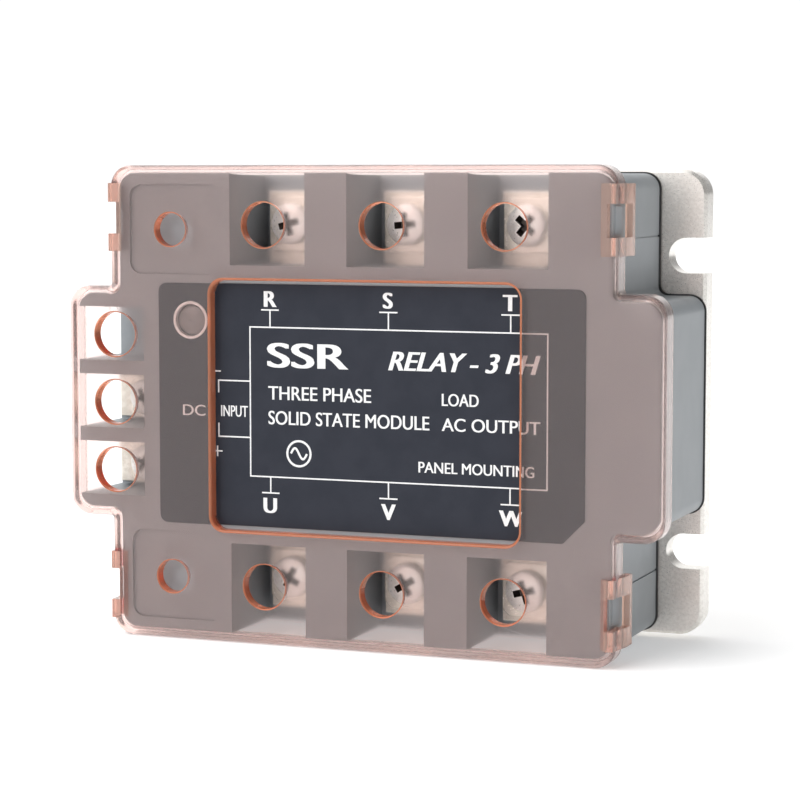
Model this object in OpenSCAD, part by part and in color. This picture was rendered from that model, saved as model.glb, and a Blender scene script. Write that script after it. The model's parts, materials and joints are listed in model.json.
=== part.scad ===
// Three-phase solid state relay: base plate, potted housing, screw terminals and clip-on cover.
// Every sub-part is drawn lying on its back (z = height above the mounting face, y = up the
// front), and stand() then turns it upright: the front faces -Y and the mounting face is Y = 0.

/* [Base plate] */
// Width of the metal base plate
plate_w = 96.5; // [94:0.5:104]
// Height of the metal base plate
plate_h = 74; // [73:0.5:80]
// Thickness of the metal base plate
plate_t = 4; // [3:0.5:5]
// Corner radius of the base plate
plate_corner_r = 4; // [2:0.5:5]
// Bevel around the front edge of the base plate
plate_bevel = 0.5; // [0.3:0.1:0.8]
// Width of the four open mounting notches
notch_w = 5.6; // [5:0.1:6]
// Distance between the round ends of the left and right notches
notch_pitch_x = 90; // [88:0.5:92]
// Distance between the upper and lower notches
notch_pitch_y = 47; // [46:0.5:48]

/* [Housing] */
// Height of the housing's front face above the mounting face
housing_top = 30.9; // [30.6:0.1:31]
// Half the width of the housing across the terminal rows
band_x = 40.7; // [40.5:0.1:41]
// Half the height of the housing across the terminal rows
band_y = 36.4; // [36.2:0.1:36.6]
// Half the width of the housing across its middle
mid_x = 48.2; // [48:0.1:48.4]
// Half the height of the housing's wide middle
mid_y = 17.2; // [17:0.1:17.4]
// Wall thickness of the housing
wall = 2; // [1.6:0.1:2.2]
// Outer corner radius of the housing
corner_r = 2.5; // [2:0.1:3]
// Thickness of the sealant bead between plate and housing
seal_t = 0.6; // [0.5:0.1:1]
// Distance that the sealant bead stands out past the housing
seal_lip = 0.25; // [0.2:0.05:0.5]

/* [Power terminals] */
// Position of the first terminal column
column_start = -15; // [-15.5:0.1:-14.5]
// Distance between terminal columns
column_pitch = 19.8; // [19.5:0.1:20]
// Height of the terminal screws above and below the middle
row_y = 28.4; // [28:0.1:28.8]
// Width of a terminal recess
recess_w = 12.8; // [12:0.1:13.2]
// Height of the recess floor above the mounting face
recess_floor = 16.6; // [16.2:0.1:17]
// Width of a terminal plate
terminal_w = 9; // [8.8:0.1:9.2]
// Height of the underside of a terminal plate
terminal_z = 19.1; // [19:0.1:19.3]
// Thickness of the terminal plates
terminal_t = 0.8; // [0.6:0.1:0.8]
// Side of the square clamping washer
power_washer_w = 8.6; // [8.4:0.1:8.8]
// Head diameter of the power screws
power_head_d = 6.5; // [6.3:0.1:7]
// Height of the power screw head
power_head_h = 2.2; // [2:0.1:2.4]

/* [Control terminals] */
// Position of the control terminal screws
control_x = -40.9; // [-41.2:0.1:-40.6]
// Distance between control compartments
control_pitch = 10.85; // [10.8:0.05:10.9]
// Height of one control compartment
bay_h = 8.6; // [8.4:0.1:8.7]
// Height of the compartment floor above the mounting face
bay_floor = 17.1; // [16.8:0.1:17.4]
// Head diameter of the control screws
control_head_d = 5.6; // [5.4:0.1:5.8]
// Height of the control screw head
control_head_h = 2; // [1.8:0.1:2.1]

/* [Cover] */
// Height of the cover's front face above the mounting face
cover_top = 33.1; // [33:0.1:33.4]
// Thickness of the cover's front
cover_front_t = 1.8; // [1.6:0.1:1.9]
// Thickness of the cover's side walls
cover_wall = 1.1; // [1:0.1:1.2]
// Gap between the cover's side walls and the housing
cover_gap = 0.2; // [0.15:0.05:0.25]
// Depth of the cover's side walls from its front face
skirt_depth = 5; // [4.5:0.1:5.5]
// Radius of the cover's front edge
cover_edge_r = 1.6; // [1.4:0.1:1.7]
// Diameter of the screwdriver holes
driver_hole_d = 7; // [6.8:0.1:7.2]
// Diameter of the two small holes on the left
vent_hole_d = 5.2; // [5:0.1:5.4]

/* [Label] */
// Thickness of the front label
label_t = 0.2; // [0.15:0.05:0.25]
// Diameter of the LED's ring
bezel_d = 6; // [5.9:0.1:6.1]

/* [Hidden] */
$fn = 64;
hull_fn = 32;
eps = 0.01;

// Colours of the finishes
nickel = [0.74, 0.73, 0.70];
copper = [0.72, 0.45, 0.28];
slate = [0.40, 0.45, 0.50];
smoke_pink = [0.93, 0.70, 0.62, 0.45];
board_green = [0.10, 0.35, 0.20];
epoxy_black = [0.10, 0.10, 0.11];

// Terminal columns and rows
columns = [for (i = [0:2]) column_start + i * column_pitch];
rows = [1, -1];

// Heights in the stack, from the mounting face
seal_top = plate_t + seal_t;
label_top = housing_top + label_t;
cover_under = cover_top - cover_front_t;
front_under = housing_top - wall;
slab_under = recess_floor - wall;

// Terminal plate, neck through the housing wall, and tail down to the substrate
recess_y = 22;
terminal_y = [22.2, 33.6];
neck_w = 5;
tail_y = 18.6;
tail_t = terminal_t;
foot_y = 14;

// M4 clamping hardware of a power terminal
power_screw_r = 2;
power_bore_r = 2.05;
power_washer_t = 0.8;
power_shank = 8;
power_nut_flats = 7;
power_nut_h = 3.2;
power_head_z = terminal_z + terminal_t + power_washer_t;

// M3 clamping hardware of a control terminal
control_terminal_z = 19.6;
control_terminal_size = [9.4, 7];
control_screw_r = 1.5;
control_bore_r = 1.55;
control_washer_w = 6.4;
control_washer_t = 0.7;
control_shank = 6;
control_nut_flats = 5.5;
control_nut_h = 2.4;
control_head_z = control_terminal_z + terminal_t + control_washer_t;
control_pin_x = -32.3;
bay_right = -36.6;

// Depth that screw wells keep beyond the screw's tip, and their wall
well_slack = 0.4;
well_wall = 1.5;

// Printed circuit board and the parts on it
board_z = 21;
board_t = 1.6;
board_top = board_z + board_t;
board_x = [-34.2, 38.2];
board_y = 18.1;
lead_hole_r = 0.5;
pin_r = 0.35;
led_pos = [-28.2, 13.3];
led_lead = 1.27;
post_points = [[-26, -13.5], [34.5, -13.5], [35, 11], [-22.8, 14.5]];
post_r = 2.2;

// Power semiconductors on the base plate
substrate = [15, 37, 0.63];
pad = [14, 17, 0.3];
pad_gap = 1.5;
chip = [6, 6, 0.4];
chip_y = 6;
strap_w = 3;
strap_t = 0.4;
pad_z = plate_t + substrate[2];
chip_z = pad_z + pad[2];
strap_z = chip_z + chip[2];
potting_top = 9;

// Window in the cover, over the printed part of the label
window_x = [-24.1, 27.0];
window_y = [-19.7, 19.7];
window_r = 2.2;

// Label outline on the housing's front
label_x = [-33.8, 37];
label_y = [-19.15, 19.15];
label_r = 1.4;
label_chamfer = 3.5;

// Small holes at the left of the cover, over shallow square pockets in the housing
vent_pos = [-31, 27.6];
vent_pad = [15.8, 14.2];
vent_pad_depth = 0.5;
vent_pad_r = 2;

// Snap loops of the cover and the catches that they pass
loop_y = [24.1, 34.9];
loop_window_y = [26.9, 31.9];
loop_out = 42.6;
loop_in = 41.4;
loop_end = 25.1;
loop_bar = 1.3;
catch_out = 41.25;
catch_z = [27, 29.6];
latch_front_x = 39.6;
latch_front_cut = 40.5;

// Stands a lying sub-part upright, with its front facing -Y
module stand() {
    rotate([90, 0, 0]) children();
}

// Puts a child at a terminal column of the upper (1) or lower (-1) row
module at_terminal(column, row) {
    translate([columns[column], 0, 0]) mirror([0, row < 0 ? 1 : 0, 0]) children();
}

// Box between two corners
module span(x, y, z) {
    translate([x[0], y[0], z[0]]) cube([x[1] - x[0], y[1] - y[0], z[1] - z[0]]);
}

// Rectangle between two corners with round corners
module round_span(x, y, r) {
    translate([x[0] + r, y[0]]) square([x[1] - x[0] - 2 * r, y[1] - y[0]]);
    translate([x[0], y[0] + r]) square([x[1] - x[0], y[1] - y[0] - 2 * r]);
    for (px = [x[0] + r, x[1] - r], py = [y[0] + r, y[1] - r]) translate([px, py]) circle(r);
}

// Fillet that fills an inside corner at the origin, opening towards +x and +y
module inside_fillet(r) {
    difference() {
        translate([-eps, -eps]) square(r + eps);
        translate([r, r]) circle(r);
    }
}

// The plus-shaped outline shared by the housing, its cavity, the bead and the cover;
// grow moves the outline outwards
module outline(grow, r, inner_r) {
    bx = band_x + grow;
    by = band_y + grow;
    mx = mid_x + grow;
    my = mid_y + grow;
    round_span([-bx, bx], [-by, by], r);
    round_span([-mx, mx], [-my, my], r);
    for (sx = rows, sy = rows) scale([sx, sy]) translate([bx, my]) inside_fillet(inner_r);
}

// Bar with round corners and a rounded front edge
module soft_bar(half_x, half_y, z0, z1, r, edge) {
    hull() {
        for (sx = rows, sy = rows) translate([sx * (half_x - r), sy * (half_y - r), 0]) {
            translate([0, 0, z0]) cylinder(r = r, h = z1 - edge - z0, $fn = hull_fn);
            translate([0, 0, z1 - edge])
                rotate_extrude($fn = hull_fn)
                    intersection() {
                        translate([r - edge, 0]) circle(edge, $fn = hull_fn);
                        square([r, edge]);
                    }
        }
    }
}

// ---- Base ----

module base_plate() {
    half_x = plate_w / 2;
    half_y = plate_h / 2;
    color(nickel) stand() difference() {
        union() {
            linear_extrude(plate_t - plate_bevel)
                round_span([-half_x, half_x], [-half_y, half_y], plate_corner_r);
            hull() {
                for (sx = rows, sy = rows)
                    translate([sx * (half_x - plate_corner_r), sy * (half_y - plate_corner_r), plate_t - plate_bevel])
                        cylinder(r1 = plate_corner_r, r2 = plate_corner_r - plate_bevel, h = plate_bevel, $fn = hull_fn);
            }
        }
        for (sx = rows, sy = rows) translate([sx * notch_pitch_x / 2, sy * notch_pitch_y / 2, -1]) {
            cylinder(d = notch_w, h = plate_t + 2);
            translate([sx > 0 ? 0 : -notch_pitch_x / 2, -notch_w / 2, 0])
                cube([notch_pitch_x / 2, notch_w, plate_t + 2]);
        }
    }
}

module base_seal() {
    color([0.03, 0.03, 0.03]) stand() translate([0, 0, plate_t]) linear_extrude(seal_t) difference() {
        outline(seal_lip, corner_r + seal_lip, 1.5);
        outline(-wall, 1, 0.5);
    }
}

// ---- Housing ----

// Hollow under the front and around the terminal recesses
module housing_cavity() {
    translate([0, 0, seal_top - 1]) linear_extrude(slab_under - seal_top + 1) outline(-wall, 1, 0.5);
    inner_y = recess_y - wall + 0.2;
    bay_wall = bay_right + wall;
    span([bay_wall, band_x - wall], [-inner_y, inner_y], [slab_under - 1, front_under]);
    span([band_x - wall - 1, mid_x - wall], [-(mid_y - wall), mid_y - wall], [slab_under - 1, front_under]);
    core_y = [inner_y - 1, band_y - wall];
    for (row = rows) mirror([0, row < 0 ? 1 : 0, 0]) {
        span([-(band_x - wall), columns[0] - recess_w / 2 - wall], core_y, [slab_under - 1, front_under]);
        span([columns[2] + recess_w / 2 + wall, band_x - wall], core_y, [slab_under - 1, front_under]);
        for (i = [0, 1])
            span([columns[i] + recess_w / 2 + wall, columns[i + 1] - recess_w / 2 - wall],
                 core_y, [slab_under - 1, front_under]);
    }
}

// Recess of one power terminal, open to the front and to the top edge
module power_recess() {
    span([-recess_w / 2, recess_w / 2], [recess_y, band_y + 1], [recess_floor, housing_top + 1]);
}

// Well for the screw's tip and pocket for the pressed-in nut
module nut_pocket(shank_r, tip_z, nut_flats, nut_h, plate_z) {
    translate([0, 0, tip_z - well_slack]) cylinder(r = shank_r + 0.3, h = plate_z - tip_z + 1);
    translate([0, 0, plate_z - nut_h]) cylinder(d = (nut_flats + 0.2) / cos(30), h = nut_h + eps, $fn = 6);
}

module power_pedestal() {
    tip_z = power_head_z - power_shank;
    difference() {
        union() {
            span([-terminal_w / 2 - 0.3, terminal_w / 2 + 0.3], [recess_y - eps, 34], [slab_under, terminal_z]);
            translate([0, row_y, tip_z - well_slack - well_wall])
                cylinder(r = power_screw_r + 0.3 + well_wall, h = slab_under - tip_z + well_slack + well_wall + eps);
        }
        translate([0, row_y, 0])
            nut_pocket(power_screw_r, tip_z, power_nut_flats, power_nut_h, terminal_z);
    }
}

module control_pedestal() {
    tip_z = control_head_z - control_shank;
    difference() {
        union() {
            span([control_x - 6, bay_right + eps], [-3.8, 3.8], [bay_floor - wall, control_terminal_z]);
            translate([control_x, 0, tip_z - well_slack - well_wall])
                cylinder(r = control_screw_r + 0.3 + well_wall, h = bay_floor - tip_z + well_slack + eps);
        }
        translate([control_x, 0, 0])
            nut_pocket(control_screw_r, tip_z, control_nut_flats, control_nut_h, control_terminal_z);
    }
}

module housing() {
    color(slate) stand() {
        difference() {
            translate([0, 0, seal_top]) linear_extrude(housing_top - seal_top) outline(0, corner_r, 1.5);
            housing_cavity();
            for (i = [0:2], row = rows) at_terminal(i, row) {
                power_recess();
                span([-terminal_w / 2 - 0.3, terminal_w / 2 + 0.3], [recess_y - eps, 34], [slab_under - 1, terminal_z]);
                span([-neck_w / 2 - 0.1, neck_w / 2 + 0.1], [tail_y - 1, recess_y + 1],
                     [terminal_z - 0.1, terminal_z + terminal_t + 0.1]);
            }
            for (k = [-1:1]) translate([0, k * control_pitch, 0])
                span([-mid_x - 1, bay_right], [-bay_h / 2, bay_h / 2], [bay_floor, housing_top + 1]);
            for (k = [-1, 0]) translate([0, k * control_pitch, 0]) {
                span([control_x - 6, bay_right + eps], [-3.8, 3.8], [bay_floor - wall - 1, control_terminal_z]);
                span([bay_right - 1, bay_right + wall + 1], [-1.6, 1.6],
                     [control_terminal_z - 0.1, control_terminal_z + terminal_t + 0.1]);
            }
            translate([led_pos[0], led_pos[1], front_under - 1]) cylinder(d = bezel_d, h = wall + 2);
            for (row = rows) translate([vent_pos[0], row * vent_pos[1], housing_top - vent_pad_depth])
                linear_extrude(vent_pad_depth + 1)
                    round_span([-vent_pad[0] / 2, vent_pad[0] / 2], [-vent_pad[1] / 2, vent_pad[1] / 2], vent_pad_r);
            // Parting step on the four short side faces
            for (sx = rows, sy = rows)
                span([sx * band_x - 0.2, sx * band_x + 0.2], [sy * 26.6 - 0.15, sy * 26.6 + 0.15], [seal_top - 1, loop_end - 2]);
        }
        for (i = [0:2], row = rows) at_terminal(i, row) power_pedestal();
        for (k = [-1, 0]) translate([0, k * control_pitch, 0]) control_pedestal();
        for (p = post_points) translate([p[0], p[1], board_top]) cylinder(r = post_r, h = front_under - board_top + eps);
        for (sx = rows, sy = rows) scale([sx, sy, 1]) catch();
    }
}

// Wedge that the cover's snap loop drops behind
module catch() {
    translate([0, loop_window_y[1] - 0.4, 0]) rotate([90, 0, 0])
        linear_extrude(loop_window_y[1] - loop_window_y[0] - 0.8)
            polygon([[band_x - eps, catch_z[0]], [catch_out, catch_z[0]], [catch_out, catch_z[0] + 1],
                     [band_x + 0.1, catch_z[1]], [band_x - eps, catch_z[1]]]);
}

// ---- Front ----

module label() {
    color([0.16, 0.17, 0.20]) stand() translate([0, 0, housing_top]) linear_extrude(label_t) difference() {
        round_span(label_x, label_y, label_r);
        translate([label_x[1], label_y[0]]) rotate(45) square(label_chamfer * sqrt(2), center = true);
        translate(led_pos) circle(d = bezel_d);
    }
}

module led_bezel() {
    color([0.88, 0.87, 0.85]) stand() translate([led_pos[0], led_pos[1], front_under]) difference() {
        cylinder(d = bezel_d, h = label_top + 0.1 - front_under);
        translate([0, 0, -1]) cylinder(r = 2.55, h = wall + 2.5);
    }
}

module status_led() {
    color([0.75, 0.68, 0.66]) stand() translate([led_pos[0], led_pos[1], 0]) {
        translate([0, 0, board_top]) cylinder(r = 2.5, h = label_top - 0.7 - board_top);
        intersection() {
            translate([0, 0, board_top]) cylinder(r = 2.5, h = label_top - board_top);
            translate([0, 0, label_top - 0.1 - 6]) sphere(6);
        }
        translate([0, 0, board_top]) cylinder(r = 2.9, h = 1);
        for (s = rows) translate([s * led_lead, 0, board_z - 0.8]) cylinder(r = 0.3, h = 1);
        for (s = rows) translate([s * led_lead, 0, board_z]) cylinder(r = 0.3, h = board_t + 0.2);
    }
}

// Post and hook of a snap loop, one on each side of its window
module latch_post() {
    skirt_end = cover_top - skirt_depth;
    wall_in = band_x + cover_gap;
    wall_out = wall_in + cover_wall;
    rotate([90, 0, 0]) translate([0, 0, -loop_window_y[0]])
        linear_extrude(loop_window_y[0] - loop_y[0])
            polygon([[latch_front_x, cover_top], [wall_out - 0.1, cover_top], [wall_out, cover_top - 2],
                     [loop_out, skirt_end], [loop_out, loop_end], [loop_in, loop_end],
                     [loop_in, skirt_end - 0.4], [wall_in, skirt_end + 1], [wall_in, cover_under],
                     [latch_front_x, cover_under]]);
}

module snap_loop() {
    latch_post();
    translate([0, loop_y[1] + loop_y[0], 0]) mirror([0, 1, 0]) latch_post();
    span([loop_in, loop_out], loop_y, [loop_end, loop_end + loop_bar]);
}

module cover() {
    skirt_end = cover_top - skirt_depth;
    grow = cover_gap + cover_wall;
    color(smoke_pink) stand() difference() {
        union() {
            soft_bar(band_x + grow, band_y + grow, skirt_end, cover_top, corner_r + 0.8, cover_edge_r);
            soft_bar(mid_x + grow, mid_y + grow, skirt_end, cover_top, corner_r + 0.8, cover_edge_r);
            for (sx = rows, sy = rows) scale([sx, sy, 1]) snap_loop();
        }
        translate([0, 0, skirt_end - 1]) linear_extrude(cover_under - skirt_end + 1)
            outline(cover_gap, corner_r, 1.3);
        for (sx = rows, sy = rows) scale([sx, sy, 1])
            span([latch_front_cut, loop_out + 1], loop_window_y, [loop_end + loop_bar, cover_top + 1]);
        translate([0, 0, cover_under - 1]) linear_extrude(cover_front_t + 2)
            round_span(window_x, window_y, window_r);
        for (i = [0:2], row = rows) at_terminal(i, row)
            translate([0, row_y, cover_under - 1]) cylinder(d = driver_hole_d, h = cover_front_t + 2);
        for (k = [-1:1])
            translate([control_x, k * control_pitch, cover_under - 1])
                cylinder(d = driver_hole_d, h = cover_front_t + 2);
        for (row = rows) translate([vent_pos[0], row * vent_pos[1], cover_under - 1])
            cylinder(d = vent_hole_d, h = cover_front_t + 2);
    }
}

// ---- Terminal hardware ----

module power_terminal(column, row) {
    color(nickel) stand() at_terminal(column, row) difference() {
        union() {
            span([-terminal_w / 2, terminal_w / 2], terminal_y, [terminal_z, terminal_z + terminal_t]);
            span([-neck_w / 2, neck_w / 2], [tail_y, terminal_y[0] + eps], [terminal_z, terminal_z + terminal_t]);
            span([-neck_w / 2, neck_w / 2], [tail_y, tail_y + tail_t], [chip_z, terminal_z + terminal_t]);
            span([-neck_w / 2, neck_w / 2], [foot_y, tail_y + tail_t], [chip_z, chip_z + tail_t]);
        }
        translate([0, row_y, terminal_z - 1]) cylinder(r = power_screw_r + 0.3, h = terminal_t + 2);
    }
}

// Square clamping washer with chamfered corners
module square_washer(width, thickness, bore_r) {
    difference() {
        intersection() {
            translate([-width / 2, -width / 2, 0]) cube([width, width, thickness]);
            rotate(45) translate([-width * 0.62, -width * 0.62, 0]) cube([width * 1.24, width * 1.24, thickness]);
        }
        translate([0, 0, -1]) cylinder(r = bore_r, h = thickness + 2);
    }
}

module clamp_washer(column, row) {
    color(nickel) stand() at_terminal(column, row)
        translate([0, row_y, terminal_z + terminal_t])
            square_washer(power_washer_w, power_washer_t, power_bore_r);
}

// Pan head with a cross recess on a plain shank; z = 0 is the underside of the head
module pan_screw(head_d, head_h, shank_r, shank, recess) {
    crown = head_h * 0.2;
    crown_r = (pow(head_d / 2, 2) + pow(crown, 2)) / (2 * crown);
    difference() {
        union() {
            intersection() {
                cylinder(d = head_d, h = head_h + 1);
                translate([0, 0, head_h - crown_r]) sphere(crown_r);
                translate([-head_d, -head_d, 0]) cube([2 * head_d, 2 * head_d, head_h + 1]);
            }
            translate([0, 0, -shank]) cylinder(r = shank_r, h = shank + 0.2);
        }
        for (turn = [0, 90]) rotate(turn)
            translate([-recess / 2, -recess * 0.14, head_h * 0.42]) cube([recess, recess * 0.28, head_h]);
    }
}

module power_screw(column, row, turn) {
    color(nickel) stand() at_terminal(column, row)
        translate([0, row_y, power_head_z]) rotate(turn)
            pan_screw(power_head_d, power_head_h, power_screw_r, power_shank, 4);
}

module hex_nut(flats, height, bore_r) {
    difference() {
        cylinder(d = flats / cos(30), h = height, $fn = 6);
        translate([0, 0, -1]) cylinder(r = bore_r, h = height + 2);
    }
}

module power_nuts() {
    color(nickel) stand() for (i = [0:2], row = rows) at_terminal(i, row)
        translate([0, row_y, terminal_z - power_nut_h]) hex_nut(power_nut_flats, power_nut_h, power_bore_r);
}

module control_terminal(bay) {
    length = control_terminal_size[0];
    half = control_terminal_size[1] / 2;
    left = control_x - 5.7;
    color(nickel) stand() translate([0, bay * control_pitch, 0]) difference() {
        union() {
            span([left, left + length], [-half, half], [control_terminal_z, control_terminal_z + terminal_t]);
            span([left, control_pin_x + 0.4], [-1.5, 1.5], [control_terminal_z, control_terminal_z + terminal_t]);
            span([control_pin_x - 0.4, control_pin_x + 0.4], [-0.5, 0.5], [control_terminal_z, board_top + 1]);
        }
        translate([control_x, 0, control_terminal_z - 1]) cylinder(r = control_screw_r + 0.25, h = terminal_t + 2);
    }
}

module control_washer(bay) {
    color(nickel) stand() translate([control_x, bay * control_pitch, control_terminal_z + terminal_t])
        square_washer(control_washer_w, control_washer_t, control_bore_r);
}

module control_screw(bay, turn) {
    color(nickel) stand() translate([control_x, bay * control_pitch, control_head_z]) rotate(turn)
        pan_screw(control_head_d, control_head_h, control_screw_r, control_shank, 3.2);
}

module control_nuts() {
    color(nickel) stand() for (bay = [0, -1])
        translate([control_x, bay * control_pitch, control_terminal_z - control_nut_h])
            hex_nut(control_nut_flats, control_nut_h, control_bore_r);
}

// ---- Circuit board ----

// Gate pins stand on the chips, and cathode pins on the copper pads
gate_pin_spot = [1.6, 7.4];
pad_pin_spot = [5, 11.5];

// Puts a child at each of the two back-to-back halves of a phase
module at_each_thyristor() {
    for (i = [0:2], half = rows) translate([columns[i], 0, 0]) rotate(half > 0 ? 0 : 180) children();
}

module gate_pins() {
    pin_top = board_top + 0.8;
    color(copper) stand() at_each_thyristor() {
        translate([-gate_pin_spot[0], gate_pin_spot[1], strap_z]) cylinder(r = pin_r, h = pin_top - strap_z);
        translate([-pad_pin_spot[0], pad_pin_spot[1], chip_z]) cylinder(r = pin_r, h = pin_top - chip_z);
    }
}

module circuit_board() {
    color(board_green) stand() difference() {
        span(board_x, [-board_y, board_y], [board_z, board_top]);
        translate([0, 0, board_z - 1]) {
            at_each_thyristor() for (spot = [gate_pin_spot, pad_pin_spot])
                translate([-spot[0], spot[1], 0]) cylinder(r = lead_hole_r, h = board_t + 2);
            for (s = rows) translate([led_pos[0] + s * led_lead, led_pos[1], 0])
                cylinder(r = lead_hole_r, h = board_t + 2);
        }
        for (bay = [0, -1]) translate([0, bay * control_pitch, 0])
            span([control_pin_x - 0.6, control_pin_x + 0.6], [-0.7, 0.7], [board_z - 1, board_top + 1]);
    }
}

// Surface-mount package with rows of bent legs along its two long sides
module leg_package(body, legs, pitch) {
    lift = 0.2;
    translate([-body[0] / 2, -body[1] / 2, lift]) cube(body);
    for (k = [0:legs - 1], s = rows) translate([(k - (legs - 1) / 2) * pitch - 0.3, 0, 0]) mirror([0, s < 0 ? 1 : 0, 0]) {
        translate([0, body[1] / 2 - eps, body[2] / 2]) cube([0.6, 0.7, 0.25]);
        translate([0, body[1] / 2 + 0.45, 0]) cube([0.6, 0.25, body[2] / 2 + 0.25]);
        translate([0, body[1] / 2 + 0.45, 0]) cube([0.6, 0.9, 0.2]);
    }
}

module optocouplers() {
    color(epoxy_black) stand() for (x = columns)
        translate([x, 0, board_top]) leg_package([7.3, 6.5, 3.4], 3, 2.54);
}

module gate_resistors() {
    color([0.15, 0.15, 0.16]) stand() for (x = columns, s = rows)
        translate([x + s * 2.6 - 1.6, s > 0 ? -14.4 : 9.6, board_top]) cube([3.2, 4.8, 0.6]);
}

module snubber_capacitors() {
    color([0.75, 0.62, 0.20]) stand() for (x = columns)
        translate([x + 6.9, -6.5, board_top]) cube([5, 13, 6]);
}

// Axial part lying along x with its leads bent down to the board
module axial_part(body_r, body_l, lead_span) {
    lift = body_r + 0.1;
    lead_r = 0.3;
    translate([-body_l / 2, 0, lift]) rotate([0, 90, 0]) cylinder(r = body_r, h = body_l);
    for (s = rows) {
        translate([s > 0 ? body_l / 2 - 0.5 : -lead_span / 2, 0, lift]) rotate([0, 90, 0])
            cylinder(r = lead_r, h = (lead_span - body_l) / 2 + 0.5);
        translate([s * (lead_span / 2 - lead_r), 0, 0]) cylinder(r = lead_r, h = lift + lead_r);
    }
}

module snubber_resistors() {
    color([0.45, 0.62, 0.72]) stand() for (x = columns)
        translate([x + 3, 15.8, board_top]) axial_part(1.6, 8, 12);
}

module current_regulator() {
    color(epoxy_black) stand() translate([-27.5, 1.5, board_top]) leg_package([6.5, 3.5, 1.7], 3, 2.3);
}

module protection_diode() {
    color(epoxy_black) stand() translate([-26.5, -7.4, board_top]) axial_part(1.35, 5, 9);
}

// ---- Power semiconductors ----

module ceramic_substrates() {
    color([0.93, 0.92, 0.88]) stand() for (x = columns)
        translate([x - substrate[0] / 2, -substrate[1] / 2, plate_t]) cube(substrate);
}

module copper_pads() {
    color(copper) stand() for (x = columns, row = rows)
        translate([x - pad[0] / 2, row > 0 ? pad_gap / 2 : -pad_gap / 2 - pad[1], pad_z]) cube(pad);
}

module thyristor_chips() {
    color([0.35, 0.36, 0.40]) stand() at_each_thyristor()
        translate([-chip[0] - 0.3, chip_y - chip[1] / 2, chip_z]) cube(chip);
}

// Copper clip from a chip's top down to the opposite pad
module thyristor_straps() {
    color(copper) stand() at_each_thyristor()
        translate([-6, 0, 0]) rotate([90, 0, 90]) linear_extrude(strap_w)
            polygon([[8.2, strap_z], [8.2, strap_z + strap_t], [2.4, strap_z + strap_t],
                     [-1.6, chip_z + strap_t], [-4.4, chip_z + strap_t], [-4.4, chip_z],
                     [-1.6, chip_z], [2.4, strap_z]]);
}

// Gel over the semiconductors, cast around everything that stands in it
module potting() {
    color([0.80, 0.80, 0.74, 0.8]) stand() difference() {
        translate([0, 0, plate_t]) linear_extrude(potting_top - plate_t) outline(-wall, 1, 0.5);
        for (x = columns) {
            translate([x - substrate[0] / 2, -substrate[1] / 2, plate_t - 1]) cube([substrate[0], substrate[1], substrate[2] + 1]);
            for (row = rows) translate([x - pad[0] / 2, row > 0 ? pad_gap / 2 : -pad_gap / 2 - pad[1], pad_z]) cube(pad);
        }
        at_each_thyristor() {
            translate([-chip[0] - 0.3, chip_y - chip[1] / 2, chip_z]) cube(chip);
            span([-6, -6 + strap_w], [-4.4, 8.2], [chip_z, strap_z + strap_t]);
            for (spot = [gate_pin_spot, pad_pin_spot])
                translate([-spot[0], spot[1], chip_z]) cylinder(r = pin_r + 0.02, h = potting_top);
        }
        for (i = [0:2], row = rows) at_terminal(i, row) {
            span([-neck_w / 2, neck_w / 2], [foot_y, tail_y + tail_t], [chip_z, chip_z + tail_t]);
            span([-neck_w / 2, neck_w / 2], [tail_y, tail_y + tail_t], [chip_z, potting_top + 1]);
        }
    }
}

base_plate();
base_seal();
housing();
label();
cover();
led_bezel();
status_led();
power_terminal(0, 1);  // power_terminal_r
power_terminal(1, 1);  // power_terminal_s
power_terminal(2, 1);  // power_terminal_t
power_terminal(0, -1);  // power_terminal_u
power_terminal(1, -1);  // power_terminal_v
power_terminal(2, -1);  // power_terminal_w
clamp_washer(0, 1);  // clamp_washer_r
clamp_washer(1, 1);  // clamp_washer_s
clamp_washer(2, 1);  // clamp_washer_t
clamp_washer(0, -1);  // clamp_washer_u
clamp_washer(1, -1);  // clamp_washer_v
clamp_washer(2, -1);  // clamp_washer_w
power_screw(0, 1, 15);  // power_screw_r
power_screw(1, 1, 5);  // power_screw_s
power_screw(2, 1, 50);  // power_screw_t
power_screw(0, -1, 30);  // power_screw_u
power_screw(1, -1, 60);  // power_screw_v
power_screw(2, -1, 75);  // power_screw_w
power_nuts();
control_terminal(0);  // control_terminal_minus
control_terminal(-1);  // control_terminal_plus
control_washer(0);  // control_washer_minus
control_washer(-1);  // control_washer_plus
control_screw(0, 20);  // control_screw_minus
control_screw(-1, 65);  // control_screw_plus
control_nuts();
circuit_board();
optocouplers();
gate_resistors();
snubber_capacitors();
snubber_resistors();
current_regulator();
protection_diode();
gate_pins();
ceramic_substrates();
copper_pads();
thyristor_chips();
thyristor_straps();
potting();
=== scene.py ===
import json
import math

import bmesh
import bpy
from mathutils import Matrix, Vector


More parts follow.
